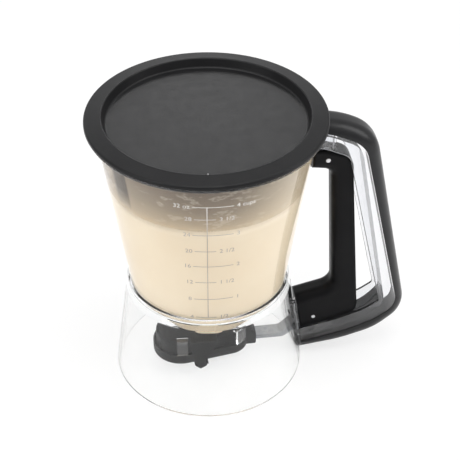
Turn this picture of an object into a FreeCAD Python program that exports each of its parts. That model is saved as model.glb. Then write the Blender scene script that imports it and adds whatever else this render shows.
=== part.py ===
"""Pancake batter dispenser: clear conical container on a clear skirt, snap-in lid,
side handle with a pull trigger, and a sliding outlet gate under the funnel.

Frame: millimetres, container axis on Z, table at z = 0, handle towards +X.
Each separate piece is written to its own STEP file in the folder "parts".
"""
import FreeCAD
import Part
import math
import os

# Overall sizes
LID_RADIUS = 71.0
TOTAL_HEIGHT = 186.3
BASE_RADIUS = 59.4

# Container
WAIST_HEIGHT = 70.6
WAIST_RADIUS = 48.5
CONE_SLOPE = 0.151
WALL = 2.5
LID_RISE = 4.3
RIM_HEIGHT = TOTAL_HEIGHT - LID_RISE
RIM_FLANGE = 4.6
RIM_THICKNESS = 2.4
FUNNEL_BREAK_RADIUS = 24.0
FUNNEL_BREAK_HEIGHT = 49.0
FUNNEL_FOOT_HEIGHT = 37.5
OUTLET_RADIUS = 5.6
OUTLET_TUBE_RADIUS = 8.0
OUTLET_TUBE_END = 19.5
FLOOR_EDGE_HEIGHT = 68.6

# Skirt
SKIRT_TOP_RADIUS = 50.1
SKIRT_WALL = 2.0
SEAT_DEPTH = 4.0
SEAT_WIDTH = 1.8
WINDOW_HALF_WIDTH = 5.6
WINDOW_BOTTOM = 9.5
WINDOW_TOP = 28.0

# Lid
RECESS_RADIUS = 60.6
RECESS_FLOOR_RADIUS = 58.8
RECESS_DEPTH = 5.6
LID_RIM_WALL = 2.4
LID_FLOOR = 2.0
PLUG_DEPTH = 9.5
PLUG_WALL = 2.0
GASKET_HEIGHT = 2.6

# Handle, side view in the XZ plane
HANDLE_WIDTH = 21.0
GRIP_WIDTH = 22.0
CHANNEL_DEPTH = 11.0
CHANNEL_WALL = 1.9
GRIP_DROP = 3.5
GRIP_TOP = RIM_HEIGHT - GRIP_DROP
GRIP_EDGE = 8.4
ROOT_X = 50.0
LUG_RADIUS = 4.8
LUG_THICKNESS = 1.8
ROOT_FLARE = 3.8
ROOT_THICKNESS = 2.0

# Trigger
TRIGGER_SIDE_GAP = 0.4
PIVOT_X = 71.3
PIVOT_DROP = 27.3
PIVOT_Z = GRIP_TOP - PIVOT_DROP
PIVOT_RADIUS = 1.5
LINK_X = 66.7
LINK_Z = 29.5
LINK_RADIUS = 1.3
EYE_WALL = 3.0
PULL_ANGLE = 6.0
TRIGGER_EDGE = 1.8
FINGER_ROUNDING = 6.0

# Spring
SPRING_RADIUS = 3.5
SPRING_WIRE = 0.9
SPRING_TURNS = 4

# Gate, rod and valve housing
GATE_BOTTOM = 12.3
GATE_THICKNESS = 3.0
GATE_HALF_WIDTH = 8.0
ROD_WIDTH = 9.0
ROD_BEND_X = 47.0
PEG_RADIUS = 1.5
PEG_X = 13.0
TAIL_END = 17.0
BIG_END_X = -18.0
BIG_END_RADIUS = 18.0
SMALL_END_X = 12.0
SMALL_END_RADIUS = 13.0
HOUSING_WALL = 2.0
HOUSING_BOTTOM = 8.0
HOUSING_SPLIT = 15.6
HOUSING_TOP = 25.0
NOZZLE_END = 3.2
EAR_TOP = 29.0
EAR_REACH = 21.5
EAR_FOOT = 6.6

# Fits
FIT = 0.1
RUN = 0.05
SLIDE = 0.3
AIR = 0.6

ORIGIN = FreeCAD.Vector(0, 0, 0)
X_AXIS = FreeCAD.Vector(1, 0, 0)
Y_AXIS = FreeCAD.Vector(0, 1, 0)
Z_AXIS = FreeCAD.Vector(0, 0, 1)


def point(x, z, y=0.0):
    return FreeCAD.Vector(x, y, z)


def unit(x, z):
    length = math.hypot(x, z)
    return x / length, z / length


def rounded_loop(corners, y=0.0):
    """Closed outline in the XZ plane. Each corner is (x, z, radius)."""
    count = len(corners)
    marks = []
    for i in range(count):
        x, z, radius = corners[i]
        ax, az = unit(corners[i - 1][0] - x, corners[i - 1][1] - z)
        nxt = corners[(i + 1) % count]
        bx, bz = unit(nxt[0] - x, nxt[1] - z)
        cosine = max(-1.0, min(1.0, ax * bx + az * bz))
        half = math.acos(cosine) / 2
        if radius <= 0 or half > math.pi / 2 - 1e-3:
            marks.append((point(x, z, y), None, point(x, z, y)))
            continue
        run = radius / math.tan(half)
        mx, mz = unit(ax + bx, az + bz)
        depth = radius / math.sin(half) - radius
        first = point(x + ax * run, z + az * run, y)
        middle = point(x + mx * depth, z + mz * depth, y)
        last = point(x + bx * run, z + bz * run, y)
        marks.append((first, middle, last))
    edges = []
    for i in range(count):
        first, middle, last = marks[i]
        if middle is not None:
            edges.append(Part.Arc(first, middle, last).toShape())
        following = marks[(i + 1) % count][0]
        if last.distanceToPoint(following) > 1e-4:
            edges.append(Part.makeLine(last, following))
    return Part.Wire(edges)


def turned(corners):
    """Solid of revolution about Z from a closed (radius, z, rounding) outline."""
    face = Part.Face(rounded_loop(corners))
    return face.revolve(ORIGIN, Z_AXIS, 360)


def slab(corners, half_width):
    """Side-view outline extruded evenly to both sides of the handle plane."""
    face = Part.Face(rounded_loop(corners, -half_width))
    return face.extrude(Y_AXIS * (2 * half_width))


def inset(corners, distance):
    """Outline moved inwards by a distance, roundings following."""
    area = 0.0
    count = len(corners)
    for i in range(count):
        x0, z0 = corners[i - 1][:2]
        x1, z1 = corners[i][:2]
        area += x0 * z1 - x1 * z0
    side = 1.0 if area > 0 else -1.0
    lines = []
    for i in range(count):
        x0, z0 = corners[i][:2]
        x1, z1 = corners[(i + 1) % count][:2]
        dx, dz = unit(x1 - x0, z1 - z0)
        lines.append((x0 - side * dz * distance, z0 + side * dx * distance, dx, dz))
    moved = []
    for i in range(count):
        px, pz, pdx, pdz = lines[i - 1]
        qx, qz, qdx, qdz = lines[i]
        cross = pdx * qdz - pdz * qdx
        t = ((qx - px) * qdz - (qz - pz) * qdx) / cross
        turning_in = side * cross > 0
        radius = corners[i][2]
        if radius > 0:
            radius = max(0.8, radius - distance) if turning_in else radius + distance
        moved.append((px + pdx * t, pz + pdz * t, radius))
    return moved


def open_inset(corners, distance):
    """Inset of a handle outline that stays open towards the container."""
    moved = inset(corners, distance)
    reach = corners[0][0] - 20.0
    for end, beside in ((0, 1), (-1, -2)):
        x0, z0 = moved[beside][:2]
        x1, z1 = moved[end][:2]
        moved[end] = (reach, z0 + (z1 - z0) * (reach - x0) / (x1 - x0), 0)
    return moved


def rod_along_y(x, z, radius, half_length):
    base = FreeCAD.Vector(x, -half_length, z)
    return Part.makeCylinder(radius, 2 * half_length, base, Y_AXIS)


def block(x0, x1, y0, y1, z0, z1):
    return Part.makeBox(x1 - x0, y1 - y0, z1 - z0, FreeCAD.Vector(x0, y0, z0))


def upright(radius, z0, z1, x=0.0, y=0.0):
    return Part.makeCylinder(radius, z1 - z0, FreeCAD.Vector(x, y, z0), Z_AXIS)


def soften(solid, radius, wanted):
    """Round every edge that the test picks; leave the solid as it is if none fits."""
    edges = [edge for edge in solid.Edges if wanted(edge)]
    if not edges:
        return solid
    return solid.makeFillet(radius, edges)


def cone_radius(z):
    """Outer radius of the container wall at a height."""
    return WAIST_RADIUS + CONE_SLOPE * (z - WAIST_HEIGHT)


def skirt_radius(z):
    """Outer radius of the skirt at a height."""
    return BASE_RADIUS + (SKIRT_TOP_RADIUS - BASE_RADIUS) * z / WAIST_HEIGHT


def egg_wire(offset, z):
    """Plan outline of the valve housing: two arcs and their tangents."""
    big = BIG_END_RADIUS + offset
    small = SMALL_END_RADIUS + offset
    sine = (big - small) / (SMALL_END_X - BIG_END_X)
    cosine = math.sqrt(1 - sine * sine)
    b0 = FreeCAD.Vector(BIG_END_X + big * sine, big * cosine, z)
    b1 = FreeCAD.Vector(BIG_END_X - big, 0, z)
    b2 = FreeCAD.Vector(BIG_END_X + big * sine, -big * cosine, z)
    s0 = FreeCAD.Vector(SMALL_END_X + small * sine, -small * cosine, z)
    s1 = FreeCAD.Vector(SMALL_END_X + small, 0, z)
    s2 = FreeCAD.Vector(SMALL_END_X + small * sine, small * cosine, z)
    edges = [Part.Arc(b0, b1, b2).toShape(), Part.makeLine(b2, s0)]
    edges += [Part.Arc(s0, s1, s2).toShape(), Part.makeLine(s2, b0)]
    return Part.Wire(edges)


def egg(offset, z0, z1):
    face = Part.Face(egg_wire(offset, z0))
    return face.extrude(Z_AXIS * (z1 - z0))


def stadium(x0, x1, half_width, z0, z1):
    """Flat plate with round ends; x0 and x1 are the centres of the ends."""
    body = block(x0, x1, -half_width, half_width, z0, z1)
    return body.fuse([upright(half_width, z0, z1, x0), upright(half_width, z0, z1, x1)]).removeSplitter()


# Side-view outlines

def grip_outline():
    """Outside of the black grip strip, ending on the container side."""
    return [
        (ROOT_X, GRIP_TOP, 0), (76.5, GRIP_TOP, 56.0), (100.6, GRIP_TOP - 12.0, 25.0), (127.0, 30.4, 19.0),
        (108.0, 14.2, 40.0), (85.0, 7.2, 90.0), (ROOT_X, 2.4, 0),
    ]


def frame_outline():
    """Line where the grip strip meets the clear channel."""
    return [
        (ROOT_X, GRIP_TOP - 5.1, 0), (68.5, GRIP_TOP - 5.1, 42.0), (93.3, GRIP_TOP - 16.7, 19.0), (120.7, 35.1, 13.0),
        (105.0, 24.2, 40.0), (85.0, 17.0, 90.0), (ROOT_X, 9.1, 0),
    ]


def hollow_outline():
    """Inside of the channel's web, thicker towards the lower corner."""
    return [
        (30.0, GRIP_TOP - 7.9, 0), (68.0, GRIP_TOP - 7.9, 34.0), (91.2, GRIP_TOP - 18.9, 15.0), (112.4, 38.0, 9.0),
        (101.5, 26.4, 30.0), (84.0, 20.4, 90.0), (30.0, 8.0, 0),
    ]


def trigger_outline():
    """Outer outline of the trigger with both arms, as if the finger gap were filled."""
    return [
        (62.3, PIVOT_Z + 6.7, 1.5), (69.0, PIVOT_Z + 6.7, 8.0), (86.6, PIVOT_Z + 0.2, 10.0), (95.4, 30.6, 8.0),
        (84.0, 26.4, 30.0), (57.9, 18.0, 1.5), (54.7, 44.0, 1.5), (62.3, PIVOT_Z - 5.0, 1.5),
    ]


def finger_gap():
    """Side of the trigger that the fingers pull, open towards the container."""
    return [
        (40.0, 42.3, 0), (78.3, 52.0, 8.0), (73.9, PIVOT_Z - 8.6, 5.5), (40.0, PIVOT_Z - 3.6, 0),
    ]


# Clear mouldings

def container_envelope(gap):
    """Everything the container and skirt fill from outside, grown by a gap."""
    flange = cone_radius(RIM_HEIGHT) + RIM_FLANGE + gap
    under = RIM_HEIGHT - RIM_THICKNESS - gap
    corners = [
        (0, -1.0, 0), (BASE_RADIUS + gap, -1.0, 0), (BASE_RADIUS + gap, 0.0, 0),
        (SKIRT_TOP_RADIUS + gap, WAIST_HEIGHT, 0), (WAIST_RADIUS + gap, WAIST_HEIGHT, 0),
        (cone_radius(under) + gap, under, 0), (flange, under, 0),
        (flange, RIM_HEIGHT + 2.0, 0), (0, RIM_HEIGHT + 2.0, 0),
    ]
    return turned(corners)


def container():
    seat = WAIST_HEIGHT - SEAT_DEPTH
    rim = cone_radius(RIM_HEIGHT)
    under = RIM_HEIGHT - RIM_THICKNESS
    edge = cone_radius(FLOOR_EDGE_HEIGHT) - WALL
    corners = [
        (rim + RIM_FLANGE, RIM_HEIGHT, 0.8), (rim + RIM_FLANGE, under, 0.8),
        (cone_radius(under), under, 0.8), (cone_radius(seat), seat, 0.6),
        (cone_radius(seat) - SEAT_WIDTH, seat, 1.0),
        (FUNNEL_BREAK_RADIUS, FUNNEL_BREAK_HEIGHT - WALL * 1.3, 12.0),
        (OUTLET_TUBE_RADIUS, FUNNEL_FOOT_HEIGHT - WALL * 1.2, 3.0),
        (OUTLET_TUBE_RADIUS, OUTLET_TUBE_END, 0.4),
        (OUTLET_RADIUS, OUTLET_TUBE_END, 0.4),
        (OUTLET_RADIUS, FUNNEL_FOOT_HEIGHT, 4.0),
        (FUNNEL_BREAK_RADIUS, FUNNEL_BREAK_HEIGHT, 12.0),
        (edge, FLOOR_EDGE_HEIGHT, 4.0),
        (rim - WALL, RIM_HEIGHT, 0.8),
    ]
    return turned(corners)


def skirt():
    seat = WAIST_HEIGHT - SEAT_DEPTH - FIT
    bore = cone_radius(WAIST_HEIGHT) + FIT
    ledge = cone_radius(seat) - SEAT_WIDTH + 0.6
    corners = [
        (BASE_RADIUS, 0.0, 0.6), (SKIRT_TOP_RADIUS, WAIST_HEIGHT, 0.4), (bore, WAIST_HEIGHT, 0.2),
        (bore, seat, 0.2), (ledge, seat, 0.4), (ledge + 0.4, seat - 1.6, 0.6),
        (skirt_radius(seat - 5.0) - SKIRT_WALL, seat - 5.0, 3.0), (BASE_RADIUS - SKIRT_WALL, 0.0, 0.6),
    ]
    shell = turned(corners)
    side = WINDOW_BOTTOM, WINDOW_TOP
    window = slab([
        (BASE_RADIUS - 14.0, side[0], 0), (BASE_RADIUS + 2.0, side[0], 0),
        (BASE_RADIUS + 2.0, side[1], 0), (BASE_RADIUS - 14.0, side[1], 0),
    ], WINDOW_HALF_WIDTH)
    window = soften(window, 3.0, lambda edge: edge.BoundBox.XLength > 15.0)
    return shell.cut(window)


def handle_channel():
    half = HANDLE_WIDTH / 2
    line = frame_outline()
    blank = slab(line, half)
    blank = blank.cut(slab(open_inset(line, CHANNEL_DEPTH), half + 1.0))
    blank = soften(blank, 0.5, lambda edge: on_flank(edge, half) and edge.BoundBox.XMax > ROOT_X + 1.0)
    blank = blank.cut(slab(hollow_outline(), half - CHANNEL_WALL))
    blank = blank.fuse([pivot_lug(side) for side in (-1, 1)] + [root_collar()])
    slot = block(0, LINK_X + 13.3, -ROD_WIDTH / 2 - 1.0, ROD_WIDTH / 2 + 1.0, 0, LINK_Z)
    blank = blank.cut(slot)
    blank = blank.cut(rod_along_y(PIVOT_X, PIVOT_Z, PIVOT_RADIUS + RUN, lug_outside() + 0.5))
    return blank.cut(container_envelope(FIT))


def lug_outside():
    """Distance of the lugs' outer faces from the handle plane."""
    return spring_half_length() + AIR + LUG_THICKNESS


def pivot_lug(side):
    """Tongue from the top web that reaches into the hollow trigger arm and carries its pivot."""
    inner = lug_outside() - LUG_THICKNESS
    low = inner if side > 0 else -lug_outside()
    face = Part.Face(rounded_loop([
        (PIVOT_X - LUG_RADIUS, PIVOT_Z - LUG_RADIUS, LUG_RADIUS - 0.1),
        (PIVOT_X + LUG_RADIUS, PIVOT_Z - LUG_RADIUS, LUG_RADIUS - 0.1),
        (PIVOT_X + LUG_RADIUS, GRIP_TOP - 7.6, 0), (PIVOT_X - LUG_RADIUS, GRIP_TOP - 7.6, 0),
    ], low))
    tongue = face.extrude(Y_AXIS * LUG_THICKNESS)
    return tongue.common(slab(inset(frame_outline(), 0.5), lug_outside()))


def root_collar():
    """Flared plate that spreads the lower arm's root over the skirt."""
    low = 6.0
    high = WINDOW_TOP + 20.0
    outer = HANDLE_WIDTH / 2 + ROOT_FLARE
    inner = HANDLE_WIDTH / 2 - CHANNEL_WALL
    shell = turned([
        (skirt_radius(low) - 3.0, low, 0), (skirt_radius(low) + ROOT_THICKNESS, low, 0),
        (skirt_radius(high) + ROOT_THICKNESS, high, 0), (skirt_radius(high) - 3.0, high, 0),
    ])
    face = Part.Face(yz_loop([
        (-outer, high, 3.0), (-outer, low, 9.0), (outer, low, 9.0), (outer, high, 3.0),
        (inner, high, 0.6), (inner, low + 9.0, 4.0), (-inner, low + 9.0, 4.0), (-inner, high, 0.6),
    ], 40.0))
    plate = shell.common(face.extrude(X_AXIS * 40.0))
    strip = slab(inset(grip_outline(), -FIT), GRIP_WIDTH / 2 + FIT)
    return plate.cut(strip.cut(slab(frame_outline(), GRIP_WIDTH)))


def yz_loop(corners, x):
    """Closed rounded outline in a plane across the handle; corners are (y, z, radius)."""
    wire = rounded_loop(corners)
    wire.rotate(ORIGIN, Z_AXIS, 90)
    wire.translate(FreeCAD.Vector(x, 0, 0))
    return wire


def handle_grip():
    half = GRIP_WIDTH / 2
    strip = slab(grip_outline(), half)
    strip = soften(strip, GRIP_EDGE, lambda edge: on_flank(edge, half) and edge.BoundBox.XMax > ROOT_X + 0.5)
    strip = strip.cut(slab(inset(frame_outline(), -FIT), half + 1.0))
    return strip.cut(container_envelope(FIT))


def on_flank(edge, half):
    """Edges that lie flat on either side face of an extruded outline."""
    box = edge.BoundBox
    return box.YLength < 0.01 and abs(abs(box.YMin) - half) < 0.01


# Trigger group

def trigger_half_width():
    return HANDLE_WIDTH / 2 - CHANNEL_WALL - TRIGGER_SIDE_GAP


def trigger():
    half = trigger_half_width()
    body = slab(trigger_outline(), half)
    body = soften(body, TRIGGER_EDGE, lambda edge: on_flank(edge, half))
    body = body.common(finger_frame(half))
    body = body.cut(rod_along_y(PIVOT_X, PIVOT_Z, PIVOT_RADIUS + RUN, half + 1.0))
    body = body.cut(rod_along_y(LINK_X, LINK_Z, LINK_RADIUS + RUN, half + 1.0))
    body = body.cut(lug_pocket())
    return body.cut(rod_slot())


def finger_frame(half):
    """Block round the finger gap whose rim is fully rounded on both flanks."""
    frame = block(45.0, 110.0, -half, half, 0, PIVOT_Z + 20.0)
    frame = frame.cut(slab(finger_gap(), half + 1.0))
    high = PIVOT_Z + 5.0
    return soften(frame, FINGER_ROUNDING, lambda edge: on_flank(edge, half) and on_gap(edge, high))


def on_gap(edge, high):
    """Edges round the finger gap, not round the block's outside."""
    box = edge.BoundBox
    return box.XMin > 44.9 and box.XMax < 80.0 and box.XLength > 0.5 and box.ZMin > 40.0 and box.ZMax < high


def lug_pocket():
    """Pocket for both lugs and the coil, open upwards, with a slot for the coil's lower leg."""
    reach = LUG_RADIUS + AIR + 0.4
    half = lug_outside() + SLIDE
    well = rod_along_y(PIVOT_X, PIVOT_Z, reach, half)
    chimney = block(PIVOT_X - reach, PIVOT_X + reach, -half, half, PIVOT_Z, PIVOT_Z + 12.0)
    leg = SPRING_RADIUS - SPRING_WIRE / 2
    low = PIVOT_Z - leg_length() - AIR
    slot = block(PIVOT_X + leg - 2.0, PIVOT_X + leg + SPRING_WIRE + SLIDE, -half, half, low, PIVOT_Z)
    return well.fuse([chimney, slot]).removeSplitter()


def leg_length():
    """Reach of the coil's lower leg below the pivot."""
    return SPRING_RADIUS + 5.0


def rod_slot():
    """Slot in the lower arm that takes the eye of the pull rod."""
    half = ROD_WIDTH / 2 + SLIDE
    return slab([
        (45.0, 10.0, 0), (LINK_X + 8.5, 10.0, 0), (LINK_X + 8.5, LINK_Z + 7.0, 4.0),
        (LINK_X - 4.0, LINK_Z + 7.0, 3.0), (45.0, LINK_Z + 3.0, 0),
    ], half)


def pivot_pin():
    half = trigger_half_width() + 0.1
    pin = rod_along_y(PIVOT_X, PIVOT_Z, PIVOT_RADIUS, half)
    return soften(pin, 0.4, lambda edge: edge.BoundBox.YLength < 0.01)


def link_pin():
    half = trigger_half_width() - 0.1
    pin = rod_along_y(LINK_X, LINK_Z, LINK_RADIUS, half)
    return soften(pin, 0.3, lambda edge: edge.BoundBox.YLength < 0.01)


def spring_pitch():
    return SPRING_WIRE * 1.25


def spring_half_length():
    return (SPRING_TURNS * spring_pitch() + SPRING_WIRE) / 2


def trigger_spring():
    """Coil round the pivot, one leg up to the channel and one down inside the bar."""
    length = SPRING_TURNS * spring_pitch()
    coil = Part.makeHelix(spring_pitch(), length, SPRING_RADIUS)
    circle = Part.Wire(Part.makeCircle(SPRING_WIRE / 2, FreeCAD.Vector(SPRING_RADIUS, 0, 0), Y_AXIS))
    body = Part.Wire(coil).makePipeShell([circle], True, True)
    leg_down = Part.makeCylinder(SPRING_WIRE / 2, leg_length(), FreeCAD.Vector(SPRING_RADIUS, 0, 0), -Y_AXIS)
    reach = spring_seat_height() - PIVOT_Z
    leg_up = Part.makeCylinder(SPRING_WIRE / 2, reach, FreeCAD.Vector(SPRING_RADIUS, 0, length), Y_AXIS)
    body = body.fuse([leg_down, leg_up])
    body.rotate(ORIGIN, X_AXIS, 90)
    body.translate(FreeCAD.Vector(PIVOT_X, length / 2, PIVOT_Z))
    return body


def spring_seat_height():
    """Underside of the channel's top web above the pivot."""
    line = hollow_outline()
    x0, z0 = line[1][:2]
    x1, z1 = line[2][:2]
    x = PIVOT_X + SPRING_RADIUS
    return z0 + (z1 - z0) * (x - x0) / (x1 - x0) - FIT - 0.6


# Rod and gate

def gate_travel():
    """Pull of the link pin along X when the trigger is fully closed."""
    arm = PIVOT_Z - LINK_Z
    lead = PIVOT_X - LINK_X
    angle = math.radians(PULL_ANGLE)
    return lead * (1 - math.cos(angle)) + arm * math.sin(angle)


def gate():
    top = GATE_BOTTOM + GATE_THICKNESS
    middle = GATE_BOTTOM + GATE_THICKNESS / 2
    hole = -gate_travel()
    plate = stadium(hole - 1.2, OUTLET_RADIUS - 4.5, GATE_HALF_WIDTH, GATE_BOTTOM, top)
    tail = block(0.0, TAIL_END, -ROD_WIDTH / 2, ROD_WIDTH / 2, GATE_BOTTOM, middle - RUN)
    lap = block(OUTLET_RADIUS + 2.4, TAIL_END + 5.0, -ROD_WIDTH / 2 - FIT, ROD_WIDTH / 2 + FIT, middle - RUN, top + 1.0)
    plate = plate.fuse(tail).removeSplitter().cut(lap)
    plate = plate.cut(upright(OUTLET_RADIUS, GATE_BOTTOM - 1.0, top + 1.0, hole))
    return plate.cut(upright(PEG_RADIUS + RUN, GATE_BOTTOM - 1.0, top + 1.0, PEG_X))


def pull_rod():
    """Flat bar, level inside the skirt and rising to an eye on the link pin."""
    top = GATE_BOTTOM + GATE_THICKNESS
    middle = GATE_BOTTOM + GATE_THICKNESS / 2
    start = OUTLET_RADIUS + 2.4 + FIT
    half = ROD_WIDTH / 2
    eye = LINK_RADIUS + EYE_WALL
    level = block(start, ROD_BEND_X, -half, half, GATE_BOTTOM, top)
    level = level.cut(block(start - 1.0, TAIL_END + FIT, -half - 1.0, half + 1.0, GATE_BOTTOM - 1.0, middle + RUN))
    rise = slab([
        (ROD_BEND_X - 2.0, GATE_BOTTOM, 0), (ROD_BEND_X + 1.0, GATE_BOTTOM, 6.0),
        (LINK_X + 1.6, LINK_Z - 2.6, 0), (LINK_X - 1.6, LINK_Z + 2.4, 0),
        (ROD_BEND_X - 0.6, top, 4.0), (ROD_BEND_X - 2.0, top, 0),
    ], half)
    bar = level.fuse([rise, rod_along_y(LINK_X, LINK_Z, eye, half)]).removeSplitter()
    slack = LINK_RADIUS + RUN
    slot = rod_along_y(LINK_X, LINK_Z + 0.3, slack, half + 1.0)
    slot = slot.fuse(rod_along_y(LINK_X, LINK_Z - 0.2, slack, half + 1.0))
    slot = slot.fuse(block(LINK_X - slack, LINK_X + slack, -half - 1.0, half + 1.0, LINK_Z - 0.2, LINK_Z + 0.3))
    bar = bar.cut(slot.removeSplitter())
    return bar.cut(upright(PEG_RADIUS + RUN, GATE_BOTTOM - 1.0, top + 1.0, PEG_X))


def gate_peg():
    top = GATE_BOTTOM + GATE_THICKNESS
    peg = upright(PEG_RADIUS, GATE_BOTTOM + RUN, top - RUN, PEG_X)
    return soften(peg, 0.25, lambda edge: edge.BoundBox.ZLength < 0.01)


# Valve housing

def housing_lower():
    floor = GATE_BOTTOM - SLIDE
    body = egg(0.0, HOUSING_BOTTOM, HOUSING_SPLIT - FIT / 2)
    body = soften(body, 1.8, lambda edge: abs(edge.BoundBox.ZMax - HOUSING_BOTTOM) < 0.01)
    body = body.cut(egg(-HOUSING_WALL - 1.0, floor, HOUSING_SPLIT))
    body = body.cut(rod_passage())
    body = body.cut(upright(OUTLET_RADIUS + FIT, HOUSING_BOTTOM - 1.0, floor + 1.0))
    return body.cut(upright(nozzle_flange_radius() + FIT, HOUSING_BOTTOM - 1.0, HOUSING_BOTTOM + 2.0 + FIT))


def rod_passage():
    """Way for the rod and the gate's tail through the small end."""
    half = ROD_WIDTH / 2 + SLIDE
    top = GATE_BOTTOM + GATE_THICKNESS + SLIDE
    return block(0, 40.0, -half, half, GATE_BOTTOM - SLIDE, top)


def housing_upper():
    ceiling = HOUSING_TOP - HOUSING_WALL
    body = egg(-HOUSING_WALL, HOUSING_SPLIT + FIT / 2, HOUSING_TOP)
    body = soften(body, 1.6, lambda edge: abs(edge.BoundBox.ZMin - HOUSING_TOP) < 0.01)
    body = body.cut(egg(-2 * HOUSING_WALL, HOUSING_SPLIT, ceiling))
    boss = upright(OUTLET_TUBE_RADIUS + 2.6, HOUSING_SPLIT + FIT / 2, ceiling + 0.5)
    ribs = [guide_rib(side) for side in (-1, 1)]
    body = body.fuse([boss] + ribs).removeSplitter()
    body = body.cut(upright(OUTLET_TUBE_RADIUS + FIT, HOUSING_SPLIT - 1.0, HOUSING_TOP + 1.0))
    seat = upright(OUTLET_TUBE_RADIUS + 1.0 + FIT, HOUSING_SPLIT - 1.0, OUTLET_TUBE_END)
    return body.cut(seat)


def guide_rib(side):
    """Rib that keeps the gate level inside the big end."""
    ceiling = HOUSING_TOP - HOUSING_WALL
    middle = side * (GATE_HALF_WIDTH - 2.5)
    return block(-29.0, -OUTLET_TUBE_RADIUS, middle - 0.8, middle + 0.8, HOUSING_SPLIT + FIT / 2, ceiling + 0.5)


def gate_seal():
    """Soft ring between the container's outlet tube and the gate."""
    bottom = GATE_BOTTOM + GATE_THICKNESS + FIT
    top = OUTLET_TUBE_END - FIT / 2
    inner = OUTLET_RADIUS + 0.1
    outer = OUTLET_TUBE_RADIUS + 1.0
    return turned([(inner, bottom, 0.5), (outer, bottom, 0.8), (outer, top, 0.8), (inner, top, 0.5)])


def rod_guide():
    """Sleeve outside the small end that steadies the rod, with a hooked latch on top."""
    start = SMALL_END_X + SMALL_END_RADIUS
    half = ROD_WIDTH / 2 + 1.8
    body = slab([
        (start - 6.0, GATE_BOTTOM - 2.4, 0), (start + 5.0, GATE_BOTTOM - 2.4, 1.2),
        (start + 5.0, HOUSING_TOP - 6.0, 1.5), (start + 1.5, HOUSING_TOP - 4.0, 1.0),
        (start + 3.4, HOUSING_TOP - 1.5, 1.0), (start + 1.5, HOUSING_TOP, 1.0), (start - 6.0, HOUSING_TOP, 0),
    ], half)
    body = soften(body, 0.6, lambda edge: on_flank(edge, half) and edge.BoundBox.XMin > start + 0.5)
    body = body.cut(egg(FIT, HOUSING_BOTTOM - 2.0, HOUSING_SPLIT))
    body = body.cut(egg(-HOUSING_WALL + FIT, HOUSING_SPLIT - 1.0, HOUSING_TOP + 1.0))
    return body.cut(rod_passage())


def nozzle_flange_radius():
    return OUTLET_RADIUS + 4.0


def outlet_nozzle():
    """Short spout under the housing, held by a flange in its floor."""
    inner = OUTLET_RADIUS + FIT
    flange = nozzle_flange_radius()
    return turned([
        (inner, NOZZLE_END, 0.3), (inner + 1.6, NOZZLE_END, 0.6), (inner + 2.6, HOUSING_BOTTOM - 0.4, 1.0),
        (flange, HOUSING_BOTTOM - 0.4, 0.3), (flange, HOUSING_BOTTOM + 2.0, 0.3), (inner, HOUSING_BOTTOM + 2.0, 0.3),
    ])


def valve_ear(side):
    """Tapered grip on the flank of the housing, wide at the top, with a small hooked foot."""
    near = BIG_END_RADIUS - 4.0
    face = Part.Face(rounded_loop([
        (-16.0, EAR_TOP, 2.0), (5.0, EAR_TOP, 2.0), (-1.5, 19.0, 6.0), (-6.6, 11.5, 3.0), (-3.4, 10.4, 0.8),
        (-4.4, 8.6, 0.8), (-8.0, EAR_FOOT, 1.0), (-11.6, 9.6, 2.0), (-13.0, 20.0, 8.0),
    ], near))
    body = face.extrude(Y_AXIS * (EAR_REACH - near))
    body = body.cut(egg(FIT, HOUSING_BOTTOM - 6.0, HOUSING_SPLIT + 0.4))
    body = body.cut(egg(FIT - HOUSING_WALL, HOUSING_SPLIT, HOUSING_TOP + 6.0))
    if side < 0:
        body = body.mirror(ORIGIN, Y_AXIS)
    return body


def valve_clip(end_x, end_radius, turn):
    """Clear hook that clamps the two housing halves at one point of the rim."""
    inside = end_radius - HOUSING_WALL + FIT
    profile = [
        (inside - 3.0, HOUSING_TOP + FIT, 0.4), (inside - 3.0, HOUSING_TOP + 2.0, 0.8),
        (inside + 2.2, HOUSING_TOP + 2.0, 1.2), (inside + 2.2, HOUSING_SPLIT + FIT, 0.3),
        (inside, HOUSING_SPLIT + FIT, 0.3), (inside, HOUSING_TOP + FIT, 0),
    ]
    hook = slab(profile, 3.5)
    hook.rotate(ORIGIN, Z_AXIS, turn)
    hook.translate(FreeCAD.Vector(end_x, 0, 0))
    return hook.cut(egg(-HOUSING_WALL + FIT, HOUSING_SPLIT, HOUSING_TOP + FIT))


# Lid

def lid():
    rim = cone_radius(RIM_HEIGHT)
    bottom = RIM_HEIGHT + FIT
    crown = TOTAL_HEIGHT
    edge = bottom + LID_RIM_WALL
    floor = crown - RECESS_DEPTH
    plug_top = rim - WALL - SLIDE
    plug_foot = plug_top - CONE_SLOPE * PLUG_DEPTH
    groove = bottom - PLUG_DEPTH / 2
    shell = turned([
        (0.0, floor, 0), (RECESS_FLOOR_RADIUS, floor, 1.2), (RECESS_RADIUS, crown, 0.8),
        (LID_RADIUS, edge, 1.4), (LID_RADIUS, bottom, 0.4), (plug_top, bottom, 0.3),
        (plug_foot, bottom - PLUG_DEPTH, 0.6), (plug_foot - PLUG_WALL, bottom - PLUG_DEPTH, 0.6),
        (plug_top - PLUG_WALL - 2.0, floor - LID_FLOOR, 1.0), (0.0, floor - LID_FLOOR, 0),
    ])
    half = GASKET_HEIGHT / 2
    depth = gasket_root(groove)
    ring = turned([
        (depth, groove - half, 0), (rim, groove - half, 0), (rim, groove + half, 0), (depth, groove + half, 0),
    ])
    return shell.cut(ring)


def gasket_root(z):
    """Radius of the groove floor in the lid's plug."""
    return cone_radius(z) - WALL - SLIDE - 1.1


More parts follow.
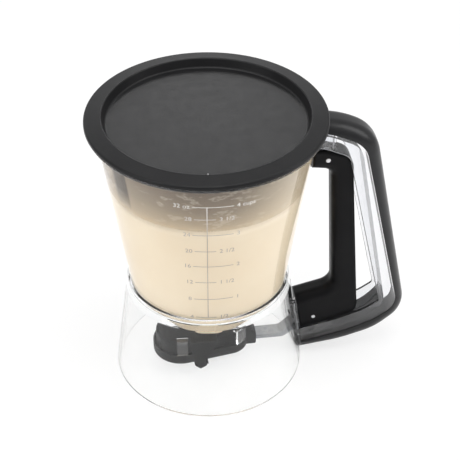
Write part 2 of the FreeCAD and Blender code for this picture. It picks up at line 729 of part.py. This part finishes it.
def lid_gasket():
    """Soft ring in the plug's groove that bears on the container wall."""
    groove = RIM_HEIGHT + FIT - PLUG_DEPTH / 2
    half = GASKET_HEIGHT / 2 - RUN
    root = gasket_root(groove) + RUN
    lip = cone_radius(groove - half) - WALL - RUN
    return turned([
        (root, groove - half, 0.2), (lip, groove - half, 0.4), (lip, groove + half, 0.4), (root, groove + half, 0.2),
    ])


def pieces():
    """Every separate piece of the dispenser by name."""
    made = {
        "container": container(),
        "skirt": skirt(),
        "handle_channel": handle_channel(),
        "handle_grip": handle_grip(),
        "trigger": trigger(),
        "pivot_pin": pivot_pin(),
        "link_pin": link_pin(),
        "trigger_spring": trigger_spring(),
        "gate": gate(),
        "pull_rod": pull_rod(),
        "gate_peg": gate_peg(),
        "housing_lower": housing_lower(),
        "housing_upper": housing_upper(),
        "gate_seal": gate_seal(),
        "rod_guide": rod_guide(),
        "outlet_nozzle": outlet_nozzle(),
        "ear_front": valve_ear(-1),
        "ear_back": valve_ear(1),
        "lid": lid(),
        "lid_gasket": lid_gasket(),
    }
    for name, turn in (("front", -93.0), ("back", 93.0)):
        made["clip_left_" + name] = valve_clip(BIG_END_X, BIG_END_RADIUS, turn)
    for name, turn in (("front", -54.0), ("back", 54.0)):
        made["clip_right_" + name] = valve_clip(SMALL_END_X, SMALL_END_RADIUS, turn)
    return made


def main():
    os.makedirs("parts", exist_ok=True)
    for name, shape in pieces().items():
        solids = shape.Solids
        if len(solids) != 1:
            raise ValueError(name + " is not one solid")
        solid = solids[0]
        if not solid.isValid() or solid.Volume <= 0:
            raise ValueError(name + " is not a valid solid")
        solid.exportStep("parts/" + name + ".step")
        box = solid.BoundBox
        print(name, round(solid.Volume / 1000.0, 2), "cm3", round(box.ZMin, 1), round(box.ZMax, 1))


main()
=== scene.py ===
import bpy
import bmesh
import math
from mathutils import Matrix, Vector


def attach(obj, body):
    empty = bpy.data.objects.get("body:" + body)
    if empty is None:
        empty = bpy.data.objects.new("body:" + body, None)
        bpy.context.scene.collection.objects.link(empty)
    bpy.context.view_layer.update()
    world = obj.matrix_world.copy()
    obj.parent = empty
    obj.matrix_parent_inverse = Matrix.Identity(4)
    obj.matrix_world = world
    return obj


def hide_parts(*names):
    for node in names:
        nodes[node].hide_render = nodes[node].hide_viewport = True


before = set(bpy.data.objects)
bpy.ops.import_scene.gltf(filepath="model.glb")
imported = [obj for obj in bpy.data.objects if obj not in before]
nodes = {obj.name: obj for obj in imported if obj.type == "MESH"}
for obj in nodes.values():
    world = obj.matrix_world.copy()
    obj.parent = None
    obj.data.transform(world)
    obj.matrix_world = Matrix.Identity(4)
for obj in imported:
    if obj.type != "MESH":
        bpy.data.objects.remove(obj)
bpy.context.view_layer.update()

# Sizes of the container, in millimetres

MM = 0.001
WAIST_Z = 70.6
WAIST_R = 48.5
CONE_SLOPE = 0.151
WALL = 2.5
FUNNEL_EDGE_Z = 68.6
FUNNEL_BREAK_R = 24.0
FUNNEL_BREAK_Z = 49.0
TUBE_R = 5.6
TUBE_TOP_Z = 37.5
TUBE_END_Z = 19.5

# Batter, its film on the wall, and the scale, in millimetres and degrees

BATTER_Z = 144.6
BATTER_FOOT_Z = 15.5
BRIM_WIDTH = 4.0
BRIM_RISE = 0.9
FILM_TOP_Z = 179.0
WALL_SINK = 0.3
MARKS_AZIMUTH = -97.3
MARK_HEIGHTS = (165.0, 155.4, 142.8, 129.7, 117.1, 103.6, 88.9, 72.8)
OUNCES = ("32 oz", "28", "24", "20", "16", "12", "8", "4")
CUPS = ("4 cups", "3 1/2", "3", "2 1/2", "2", "1 1/2", "1", "1/2")
LETTER_HEIGHT = 3.1
CAPITAL_SHARE = 0.72
LETTER_LIFT = 0.3
OUNCES_GAP = 1.2
CUPS_GAP = 1.8
LONG_LINE = (-8.3, 15.0)
SHORT_LINE = (-7.3, 5.0)
LINE_WIDTH = 0.42
SPINE_WIDTH = 0.45
INK_LIFT = 0.06

# Other pieces, in metres

GRIP_BOND = 0.00022
PIP_AZIMUTH = math.radians(-96.6)
PIP_REACH = 0.0609
PIP_Z = 0.1861
PIP_RADIUS = 0.00055
FLOOR_SIZE = 6.0
FLOOR_Z = -0.0003

# Shares of light

BATTER_GLOW = 0.32
FLOOR_GLOW = 0.72
GLOSS_WHITE = 0.3

# Camera, solved from the circles of the lid, waist and base

TILT, PAN, ROLL = 0.6603, 0.01976, 0.00167
FOCAL_PX = 1426.4
FRAME_PX = 460.0
SENSOR = 36.0
EYE = Vector((0.0, -0.6887, 0.6356))
HANDLE_TURN = math.radians(7.0)


def cone_r(z):
    """Outer radius of the container wall at a height."""
    return WAIST_R + CONE_SLOPE * (z - WAIST_Z)


def inner_r(z):
    return cone_r(z) - WALL


# Node helpers

def new_material(name):
    mat = bpy.data.materials.new(name)
    mat.use_nodes = True
    tree = mat.node_tree
    tree.nodes.clear()
    out = tree.nodes.new("ShaderNodeOutputMaterial")
    shader = tree.nodes.new("ShaderNodeBsdfPrincipled")
    tree.links.new(shader.outputs[0], out.inputs["Surface"])
    return mat, tree, shader


def mix_surface(tree, share, first, second, kind="OUTPUT_MATERIAL"):
    """Sends a mix of two shaders to the output."""
    out = next(node for node in tree.nodes if node.type == kind)
    mix = tree.nodes.new("ShaderNodeMixShader")
    tree.links.new(share, mix.inputs["Fac"])
    tree.links.new(first.outputs[0], mix.inputs[1])
    tree.links.new(second.outputs[0], mix.inputs[2])
    tree.links.new(mix.outputs[0], out.inputs["Surface"])


def noise(tree, scale, detail=3.0, roughness=0.55, stretch=(1, 1, 1)):
    coords = tree.nodes.new("ShaderNodeTexCoord")
    mapping = tree.nodes.new("ShaderNodeMapping")
    mapping.inputs["Scale"].default_value = stretch
    tex = tree.nodes.new("ShaderNodeTexNoise")
    tex.inputs["Scale"].default_value = scale
    tex.inputs["Detail"].default_value = detail
    tex.inputs["Roughness"].default_value = roughness
    tree.links.new(coords.outputs["Object"], mapping.inputs["Vector"])
    tree.links.new(mapping.outputs["Vector"], tex.inputs["Vector"])
    return tex.outputs["Fac"]


def ramp(tree, source, stops):
    """Colour ramp; a stop's value is a colour, or one number for a grey."""
    node = tree.nodes.new("ShaderNodeValToRGB")
    band = node.color_ramp
    while len(band.elements) < len(stops):
        band.elements.new(0.5)
    for element, (place, value) in zip(band.elements, stops):
        colour = value if isinstance(value, tuple) else (value, value, value)
        element.position = place
        element.color = colour + (1.0,)
    tree.links.new(source, node.inputs["Fac"])
    return node.outputs["Color"]


def span(tree, source, low, high):
    node = tree.nodes.new("ShaderNodeMapRange")
    node.inputs["To Min"].default_value = low
    node.inputs["To Max"].default_value = high
    tree.links.new(source, node.inputs["Value"])
    return node.outputs["Result"]


def bump(tree, shader, source, strength, distance):
    node = tree.nodes.new("ShaderNodeBump")
    node.inputs["Strength"].default_value = strength
    node.inputs["Distance"].default_value = distance
    tree.links.new(source, node.inputs["Height"])
    tree.links.new(node.outputs["Normal"], shader.inputs["Normal"])


def combine(tree, operation, first, second):
    """One arithmetic node; either side may be a socket or a number."""
    node = tree.nodes.new("ShaderNodeMath")
    node.operation = operation
    for slot, value in enumerate((first, second)):
        if isinstance(value, (int, float)):
            node.inputs[slot].default_value = value
        else:
            tree.links.new(value, node.inputs[slot])
    return node.outputs[0]


def blend_colour(tree, share, first, second):
    """Mix of two colours; either may be a socket or a plain colour."""
    node = tree.nodes.new("ShaderNodeMix")
    node.data_type = "RGBA"
    tree.links.new(share, node.inputs["Factor"])
    for name, value in (("A", first), ("B", second)):
        socket = next(i for i in node.inputs if i.name == name and i.type == "RGBA")
        if isinstance(value, tuple):
            socket.default_value = value + (1.0,)
        else:
            tree.links.new(value, socket)
    return next(o for o in node.outputs if o.type == "RGBA")


def place_along(tree, axis, low, high, kind="Object"):
    """Share from 0 to 1 between two places on one axis, in metres."""
    coords = tree.nodes.new("ShaderNodeTexCoord")
    parts = tree.nodes.new("ShaderNodeSeparateXYZ")
    place = tree.nodes.new("ShaderNodeMapRange")
    place.inputs["From Min"].default_value = low
    place.inputs["From Max"].default_value = high
    tree.links.new(coords.outputs[kind], parts.inputs[0])
    tree.links.new(parts.outputs[axis], place.inputs["Value"])
    return place.outputs["Result"]


# Materials

def plastic(name, dark, light, rough, grain, grain_scale, gloss=0.5):
    """Opaque moulded plastic: faint colour drift, roughness drift and a fine grain."""
    mat, tree, shader = new_material(name)
    drift = noise(tree, 45.0)
    tree.links.new(ramp(tree, drift, [(0.3, dark), (0.7, light)]), shader.inputs["Base Color"])
    wear = span(tree, noise(tree, 160.0), rough - 0.06, rough + 0.06)
    tree.links.new(wear, shader.inputs["Roughness"])
    shader.inputs["Specular IOR Level"].default_value = gloss
    bump(tree, shader, noise(tree, grain_scale, 2.0), grain, 0.0001)
    return mat


def clear_plastic(name, tint, rough=0.015, ior=1.5):
    """Clear moulded plastic that lets light through to what is inside it."""
    mat, tree, shader = new_material(name)
    shader.inputs["Transmission Weight"].default_value = 1.0
    shader.inputs["IOR"].default_value = ior
    tint_low = tuple(c * 0.985 for c in tint)
    body = ramp(tree, noise(tree, 30.0), [(0.35, tint_low), (0.65, tint)])
    tree.links.new(body, shader.inputs["Base Color"])
    haze = span(tree, noise(tree, 90.0), rough * 0.4, rough * 1.6)
    tree.links.new(haze, shader.inputs["Roughness"])
    veil = tree.nodes.new("ShaderNodeBsdfTransparent")
    veil.inputs["Color"].default_value = (0.94, 0.945, 0.945, 1)
    rays = tree.nodes.new("ShaderNodeLightPath")
    mix_surface(tree, rays.outputs["Is Shadow Ray"], shader, veil)
    return mat


def steel(name):
    mat, tree, shader = new_material(name)
    shader.inputs["Metallic"].default_value = 1.0
    body = ramp(tree, noise(tree, 300.0), [(0.3, (0.55, 0.55, 0.56)), (0.7, (0.72, 0.72, 0.73))])
    tree.links.new(body, shader.inputs["Base Color"])
    tree.links.new(span(tree, noise(tree, 500.0), 0.2, 0.35), shader.inputs["Roughness"])
    return mat


def batter_material():
    """Cream batter; its foot in the funnel has a faint painted glow, standing in for light scattered inside
    it.
    """
    mat, tree, shader = new_material("batter")
    shader.inputs["Roughness"].default_value = 0.35
    cream = [(0.25, (0.92, 0.785, 0.59)), (0.75, (0.965, 0.85, 0.665))]
    tree.links.new(ramp(tree, noise(tree, 22.0, 4.0), cream), shader.inputs["Base Color"])
    bump(tree, shader, noise(tree, 60.0), 0.15, 0.0005)
    # Painted glow: emission at the batter's foot stands in for light scattered inside the batter.
    shader.inputs["Emission Color"].default_value = (0.95, 0.80, 0.60, 1)
    painted_glow_strength = combine(tree, "MULTIPLY", place_along(tree, "Z", 0.071, 0.064), BATTER_GLOW)
    tree.links.new(painted_glow_strength, shader.inputs["Emission Strength"])
    return mat


def film_material():
    """Smear of batter left on the wall above the level, darker upwards and streaked."""
    mat, tree, shader = new_material("batter_film")
    streak = noise(tree, 30.0, 5.0, 0.6, (1.0, 1.0, 0.4))
    ragged = combine(tree, "MULTIPLY", streak, 0.35)
    height = combine(tree, "ADD", place_along(tree, "Z", 0.144, FILM_TOP_Z * MM), ragged)
    body = ramp(tree, height, [
        (0.14, (0.80, 0.65, 0.44)), (0.36, (0.56, 0.45, 0.32)),
        (0.62, (0.38, 0.305, 0.225)), (1.0, (0.27, 0.215, 0.165)),
    ])
    side = ramp(tree, place_along(tree, "X", -0.06, 0.06), [
        (0.0, 0.25), (0.35, 0.0), (0.55, 0.05), (0.8, 0.6), (1.0, 0.85),
    ])
    body = blend_colour(tree, side, body, (0.84, 0.72, 0.54))
    speck = noise(tree, 120.0, 4.0, 0.6, (0.6, 0.6, 1.5))
    smear = ramp(tree, speck, [(0.56, 0.0), (0.62, 0.45), (0.68, 0.0)])
    body = blend_colour(tree, smear, body, (0.82, 0.73, 0.59))
    # Painted refraction: the dark image of the lid in the wall, painted onto the film near its left edge.
    body = blend_colour(tree, painted_lid_refraction(tree), body, (0.07, 0.057, 0.045))
    tree.links.new(body, shader.inputs["Base Color"])
    shader.inputs["Roughness"].default_value = 0.4
    shader.inputs["Specular IOR Level"].default_value = 0.1
    tree.links.new(span(tree, streak, 0.8, 1.0), shader.inputs["Alpha"])
    return mat


def painted_lid_refraction(tree):
    """Share of the painted refraction of the dark lid near the film's left edge, narrowing downwards."""
    lean = combine(tree, "MULTIPLY", place_along(tree, "Z", 0.146, FILM_TOP_Z * MM), 0.30)
    across = combine(tree, "ADD", place_along(tree, "X", -0.060, -0.046), lean)
    share = ramp(tree, across, [(0.50, 0.0), (0.60, 0.8), (0.94, 0.8), (1.0, 0.0)])
    share = combine(tree, "MULTIPLY", share, place_along(tree, "Y", -0.012, -0.024))
    return combine(tree, "MULTIPLY", share, place_along(tree, "Z", 0.146, 0.160))


def print_material():
    """Printed scale: ink that reads paler towards the top."""
    mat, tree, shader = new_material("scale_print")
    height = place_along(tree, "Z", 0.140, 0.162)
    body = ramp(tree, height, [(0.0, (0.42, 0.37, 0.34)), (1.0, (0.86, 0.84, 0.80))])
    tree.links.new(body, shader.inputs["Base Color"])
    shader.inputs["Roughness"].default_value = 0.5
    return mat


def floor_material():
    """Pale floor; the camera and clear pieces see it nearly white, with the object's shadow."""
    mat, tree, shader = new_material("floor")
    shader.inputs["Roughness"].default_value = 0.9
    shader.inputs["Specular IOR Level"].default_value = 0.0
    tree.links.new(ramp(tree, noise(tree, 3.0), [(0.3, 0.94), (0.7, 0.95)]), shader.inputs["Base Color"])
    glow = tree.nodes.new("ShaderNodeEmission")
    rays = tree.nodes.new("ShaderNodeLightPath")
    seen = combine(tree, "MAXIMUM", rays.outputs["Is Camera Ray"], rays.outputs["Is Transmission Ray"])
    mix_surface(tree, combine(tree, "MULTIPLY", seen, FLOOR_GLOW), shader, glow)
    return mat


CLEAR = clear_plastic("clear_plastic", (0.985, 0.99, 0.99), 0.015, 1.46)
SKIRT_CLEAR = clear_plastic("skirt_clear_plastic", (0.985, 0.99, 0.99), 0.012, 1.36)
HANDLE_CLEAR = clear_plastic("handle_clear_plastic", (0.925, 0.93, 0.945))
BLACK = plastic("black_plastic", (0.008, 0.008, 0.0085), (0.012, 0.012, 0.013), 0.3, 0.12, 2400.0, 0.3)
TRIGGER_BLACK = plastic("trigger_plastic", (0.0035, 0.0035, 0.004), (0.006, 0.006, 0.0065),
                        0.38, 0.12, 2400.0, 0.1)
LID_BLACK = plastic("lid_plastic", (0.008, 0.008, 0.0085), (0.011, 0.011, 0.0115), 0.38, 0.25, 3000.0, 0.19)
VALVE_GREY = plastic("valve_plastic", (0.004, 0.004, 0.0045), (0.009, 0.0092, 0.0095),
                     0.45, 0.15, 2000.0, 0.12)
GATE_GREY = plastic("gate_plastic", (0.14, 0.145, 0.15), (0.18, 0.185, 0.19), 0.4, 0.1, 2000.0)
ROD_GREY = plastic("rod_plastic", (0.19, 0.20, 0.215), (0.25, 0.26, 0.275), 0.28, 0.08, 1500.0)
SEAL = plastic("seal_rubber", (0.10, 0.10, 0.10), (0.14, 0.14, 0.14), 0.6, 0.1, 1800.0)
STEEL = steel("pin_steel")

finish = {
    SKIRT_CLEAR: ["skirt"],
    CLEAR: ["container", "clip_left_front", "clip_left_back", "clip_right_front", "clip_right_back"],
    HANDLE_CLEAR: ["handle_channel"],
    BLACK: ["handle_grip"],
    TRIGGER_BLACK: ["trigger"],
    LID_BLACK: ["lid"],
    VALVE_GREY: ["housing_lower", "housing_upper", "rod_guide", "outlet_nozzle", "ear_front", "ear_back"],
    GATE_GREY: ["gate", "gate_peg"],
    ROD_GREY: ["pull_rod"],
    SEAL: ["gate_seal", "lid_gasket"],
    STEEL: ["pivot_pin", "link_pin", "trigger_spring"],
}
for material, names in finish.items():
    for name in names:
        for slot in nodes[name].material_slots:
            slot.material = material


# Pieces that only the render has

def new_object(name, data):
    obj = bpy.data.objects.new(name, data)
    bpy.context.scene.collection.objects.link(obj)
    return obj


def smooth_shading(mesh):
    mesh.polygons.foreach_set("use_smooth", [True] * len(mesh.polygons))


def bonded_copy(name, node, body):
    """The strip as it is moulded onto the clear channel: its skin reaches just into the clear wall."""
    mesh = nodes[node].data.copy()
    work = bmesh.new()
    work.from_mesh(mesh)
    bmesh.ops.remove_doubles(work, verts=work.verts, dist=1e-6)
    work.normal_update()
    for vert in work.verts:
        vert.co += vert.normal * GRIP_BOND
    work.to_mesh(mesh)
    work.free()
    smooth_shading(mesh)
    mesh.set_sharp_from_angle(angle=math.radians(35))
    obj = new_object(name, mesh)
    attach(obj, body)
    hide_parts(node)


def add_mesh(name, verts, faces, material, body, smooth=True):
    mesh = bpy.data.meshes.new(name)
    mesh.from_pydata(verts, [], faces)
    mesh.update()
    if smooth:
        smooth_shading(mesh)
    obj = new_object(name, mesh)
    mesh.materials.append(material)
    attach(obj, body)


def ring(r, z, steps):
    """Points round the Z axis, from millimetres to metres."""
    angles = [2 * math.pi * k / steps for k in range(steps)]
    return [(r * math.cos(a) * MM, r * math.sin(a) * MM, z * MM) for a in angles]


def lathe(name, profile, material, body, steps=192):
    """Closed surface turned about Z. The profile starts and ends on the axis."""
    verts = [(0.0, 0.0, profile[0][1] * MM)]
    rings = profile[1:-1]
    for r, z in rings:
        verts += ring(r, z, steps)
    verts.append((0.0, 0.0, profile[-1][1] * MM))
    last = len(verts) - 1
    faces = []
    for k in range(steps):
        n = (k + 1) % steps
        faces.append((0, 1 + k, 1 + n))
        for row in range(len(rings) - 1):
            a = 1 + row * steps
            b = a + steps
            faces.append((a + k, b + k, b + n, a + n))
        a = 1 + (len(rings) - 1) * steps
        faces.append((a + k, last, a + n))
    add_mesh(name, verts, faces, material, body)


def wall_sheet(name, z0, z1, material, body, steps=240, rows=24):
    """Thin sleeve that clings to the inside of the container wall."""
    verts = []
    for row in range(rows + 1):
        z = z0 + (z1 - z0) * row / rows
        verts += ring(inner_r(z) + WALL_SINK, z, steps)
    faces = []
    for row in range(rows):
        for k in range(steps):
            n = (k + 1) % steps
            a = row * steps
            b = a + steps
            faces.append((a + k, a + n, b + n, b + k))
    add_mesh(name, verts, faces, material, body)


def batter_profile(steps=12):
    """Half section of the batter from its level down the wall, the funnel and the tube."""
    brim = inner_r(BATTER_Z)
    edge = BATTER_Z + BRIM_RISE
    points = [(0.0, BATTER_Z), (brim - BRIM_WIDTH, BATTER_Z), (brim - 1.2, BATTER_Z + 0.25)]
    points.append((inner_r(edge) + WALL_SINK, edge))
    drop = FUNNEL_EDGE_Z + 4.0 - BATTER_Z
    for step in range(1, steps + 1):
        z = BATTER_Z + drop * step / steps
        points.append((inner_r(z) + WALL_SINK, z))
    # Round the funnel's edge, its break and the tube's mouth, then down the tube to the gate
    return points + [
        (inner_r(FUNNEL_EDGE_Z + 1.8) + WALL_SINK, FUNNEL_EDGE_Z + 1.8),
        (inner_r(FUNNEL_EDGE_Z + 0.4) - 0.8, FUNNEL_EDGE_Z - 0.2),
        (FUNNEL_BREAK_R + 6.0, FUNNEL_BREAK_Z + 4.9),
        (FUNNEL_BREAK_R + 0.5, FUNNEL_BREAK_Z + 0.4),
        (FUNNEL_BREAK_R - 5.0, FUNNEL_BREAK_Z - 3.4),
        (TUBE_R + 3.0, TUBE_TOP_Z + 1.4),
        (TUBE_R + WALL_SINK, TUBE_TOP_Z - 1.5), (TUBE_R + WALL_SINK, TUBE_END_Z + 0.1),
        (TUBE_R - 0.1, TUBE_END_Z - 0.1), (TUBE_R - 0.1, BATTER_FOOT_Z), (0.0, BATTER_FOOT_Z),
    ]


def lid_pip():
    """Moulding pip on the lid's front edge, coloured light grey as a painted highlight."""
    place = (PIP_REACH * math.cos(PIP_AZIMUTH), PIP_REACH * math.sin(PIP_AZIMUTH), PIP_Z)
    bpy.ops.mesh.primitive_uv_sphere_add(segments=24, ring_count=12, radius=PIP_RADIUS, location=place)
    pip = bpy.context.object
    pip.name = "lid_pip"
    # Painted highlight: the black pip is coloured light grey to show the glint on it.
    grey = plastic("pip_painted_highlight", (0.22, 0.22, 0.22), (0.28, 0.28, 0.28), 0.4, 0.1, 2000.0)
    pip.data.materials.append(grey)
    bpy.ops.object.shade_smooth()
    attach(pip, "cover")


bonded_copy("grip_skin", "handle_grip", "stand")
lathe("batter", batter_profile(), batter_material(), "stand")
wall_sheet("batter_film", BATTER_Z + 0.6, FILM_TOP_Z, film_material(), "stand")
lid_pip()


# Printed scale

def on_wall(x, z):
    """Point on the container's outside: x runs round the wall from the scale's middle."""
    r = cone_r(z) + INK_LIFT
    a = math.radians(MARKS_AZIMUTH) + x / cone_r(z)
    return (r * math.cos(a) * MM, r * math.sin(a) * MM, z * MM)


def mark_line(left, right, z, steps=8):
    """Level line across the scale."""
    verts, faces = [], []
    for i in range(steps + 1):
        x = left + (right - left) * i / steps
        verts += [on_wall(x, z - LINE_WIDTH / 2), on_wall(x, z + LINE_WIDTH / 2)]
        if i:
            a = 2 * (i - 1)
            faces.append((a, a + 2, a + 3, a + 1))
    return verts, faces


def scale_spine(steps=20):
    """Upright line through every mark."""
    low, high = MARK_HEIGHTS[-1], MARK_HEIGHTS[0]
    verts, faces = [], []
    for i in range(steps + 1):
        z = low + (high - low) * i / steps
        verts += [on_wall(-SPINE_WIDTH / 2, z), on_wall(SPINE_WIDTH / 2, z)]
        if i:
            a = 2 * (i - 1)
            faces.append((a, a + 1, a + 3, a + 2))
    return verts, faces


def lettering(text, x, z, align):
    """Text as flat triangles bent onto the container wall."""
    curve = bpy.data.curves.new("label", "FONT")
    curve.body = text
    curve.size = LETTER_HEIGHT / CAPITAL_SHARE
    curve.align_x = align
    curve.fill_mode = "FRONT"
    curve.resolution_u = 3
    obj = new_object("label", curve)
    bpy.context.view_layer.update()
    mesh = bpy.data.meshes.new_from_object(obj)
    verts = [on_wall(x + v.co.x, z + v.co.y * 0.99 - LETTER_HEIGHT / 2) for v in mesh.vertices]
    faces = [tuple(p.vertices) for p in mesh.polygons]
    bpy.data.objects.remove(obj)
    bpy.data.curves.remove(curve)
    bpy.data.meshes.remove(mesh)
    return verts, faces


def printed_scale():
    """The spine, and at each mark a line with its ounces and cups; every other line is long."""
    chunks = [scale_spine()]
    for index, height in enumerate(MARK_HEIGHTS):
        left, right = LONG_LINE if index % 2 == 0 else SHORT_LINE
        chunks.append(mark_line(left, right, height))
        chunks.append(lettering(OUNCES[index], left - OUNCES_GAP, height + LETTER_LIFT, "RIGHT"))
        chunks.append(lettering(CUPS[index], right + CUPS_GAP, height + LETTER_LIFT, "LEFT"))
    verts, faces = [], []
    for chunk_verts, chunk_faces in chunks:
        base = len(verts)
        verts += chunk_verts
        faces += [tuple(i + base for i in face) for face in chunk_faces]
    add_mesh("scale_print", verts, faces, print_material(), "stand", smooth=False)


printed_scale()


# Floor, world, lamps, camera

bpy.ops.mesh.primitive_plane_add(size=FLOOR_SIZE, location=(0, 0, FLOOR_Z))
floor = bpy.context.object
floor.name = "floor"
floor.data.materials.append(floor_material())


def studio_world():
    """Soft surroundings, dimmer on the camera's side.

    The camera and the clear pieces see white, and reflections a share of it.
    """
    world = bpy.data.worlds.new("studio")
    bpy.context.scene.world = world
    world.use_nodes = True
    tree = world.node_tree
    tree.nodes.clear()
    tree.nodes.new("ShaderNodeOutputWorld")
    white = tree.nodes.new("ShaderNodeBackground")
    white.inputs["Color"].default_value = (1, 1, 1, 1)
    soft = tree.nodes.new("ShaderNodeBackground")
    depth = place_along(tree, "Y", -1.0, 1.0, "Generated")
    sky = [(0.0, (0.42, 0.42, 0.43)), (0.45, (0.62, 0.62, 0.63)), (1.0, (0.86, 0.86, 0.87))]
    tree.links.new(ramp(tree, depth, sky), soft.inputs["Color"])
    soft.inputs["Strength"].default_value = 0.95
    rays = tree.nodes.new("ShaderNodeLightPath")
    seen = combine(tree, "MAXIMUM", rays.outputs["Is Camera Ray"], rays.outputs["Is Transmission Ray"])
    glossy = combine(tree, "MULTIPLY", rays.outputs["Is Glossy Ray"], GLOSS_WHITE)
    mix_surface(tree, combine(tree, "MAXIMUM", seen, glossy), soft, white, "OUTPUT_WORLD")


def lamp(name, place, target, size, watts):
    light = bpy.data.lights.new(name, "AREA")
    light.shape = "RECTANGLE"
    light.size, light.size_y = size
    light.energy = watts
    obj = bpy.data.objects.new(name, light)
    obj.location = place
    obj.rotation_mode = "QUATERNION"
    obj.rotation_quaternion = (Vector(target) - Vector(place)).to_track_quat("-Z", "Y")
    bpy.context.scene.collection.objects.link(obj)


def photo_camera():
    """Camera at the photograph's viewing angle, turned so that the handle lies along +X."""
    forward = Vector((math.sin(PAN) * math.cos(TILT), math.cos(PAN) * math.cos(TILT), -math.sin(TILT)))
    side = forward.cross(Vector((0, 0, 1))).normalized()
    up = side.cross(forward)
    right = side * math.cos(ROLL) + up * math.sin(ROLL)
    top = up * math.cos(ROLL) - side * math.sin(ROLL)
    turn = Matrix.Rotation(-HANDLE_TURN, 3, "Z")
    axes = Matrix((turn @ right, turn @ top, turn @ -forward)).transposed().to_4x4()
    axes.translation = turn @ EYE
    data = bpy.data.cameras.new("camera")
    data.sensor_width = SENSOR
    data.lens = FOCAL_PX * SENSOR / FRAME_PX
    data.clip_start, data.clip_end = 0.05, 20.0
    obj = bpy.data.objects.new("camera", data)
    obj.matrix_world = axes
    bpy.context.scene.collection.objects.link(obj)
    bpy.context.scene.camera = obj


studio_world()
lamp("top_box", (0.0, -0.15, 1.3), (0, 0, 0.1), (0.9, 0.9), 7.6)
lamp("back_box", (0.12, 1.0, 0.84), (0.0, 0, 0.18), (0.36, 0.24), 1.35)
lamp("left_box", (-0.95, -0.55, 0.75), (0, 0, 0.1), (0.6, 0.9), 4.2)
lamp("right_box", (0.95, -0.35, 0.8), (0.05, 0, 0.1), (0.5, 0.9), 5.0)
photo_camera()
scene = bpy.context.scene
scene.view_settings.view_transform = "Standard"
bpy.context.view_layer.update()
